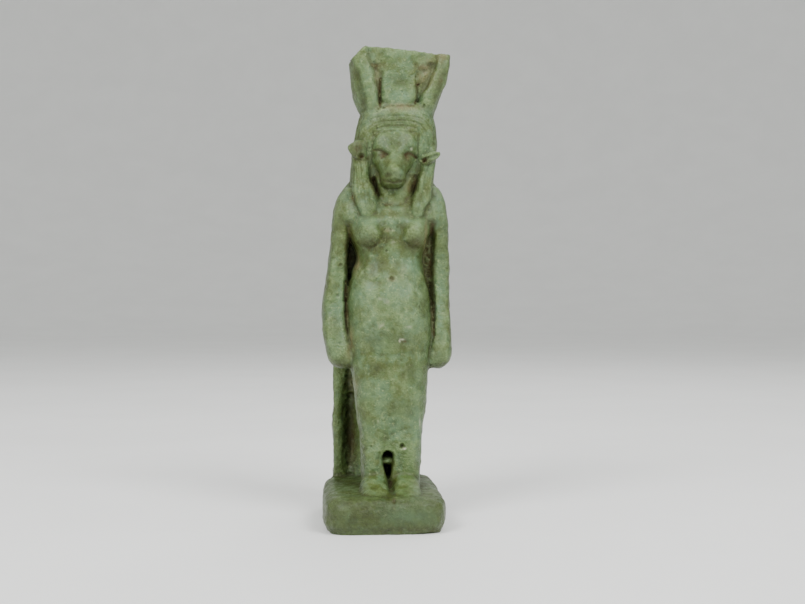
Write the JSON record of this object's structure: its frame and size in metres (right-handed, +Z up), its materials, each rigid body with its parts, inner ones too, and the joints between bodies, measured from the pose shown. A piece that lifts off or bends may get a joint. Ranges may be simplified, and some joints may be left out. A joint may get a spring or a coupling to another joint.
{
  "type": "cow-headed goddess statuette",
  "caption": "Small standing cow-headed goddess with wig, broken horned crown, back pillar and plinth, moulded as one piece of pale green faience.",
  "frame": {"origin": "centre of the plinth's flat underside", "axes": "+Z up along the figure, -Y towards the front that the figure faces, +X to the right of someone looking at its face"},
  "size_m": [0.0149, 0.0184, 0.0538],
  "materials": {
    "faience": "worn matt glaze, pale celadon green with olive wear and brown dirt in the hollows"
  },
  "bodies": {
    "root": {"hathor_statue": "faience"}
  },
  "joints": []
}
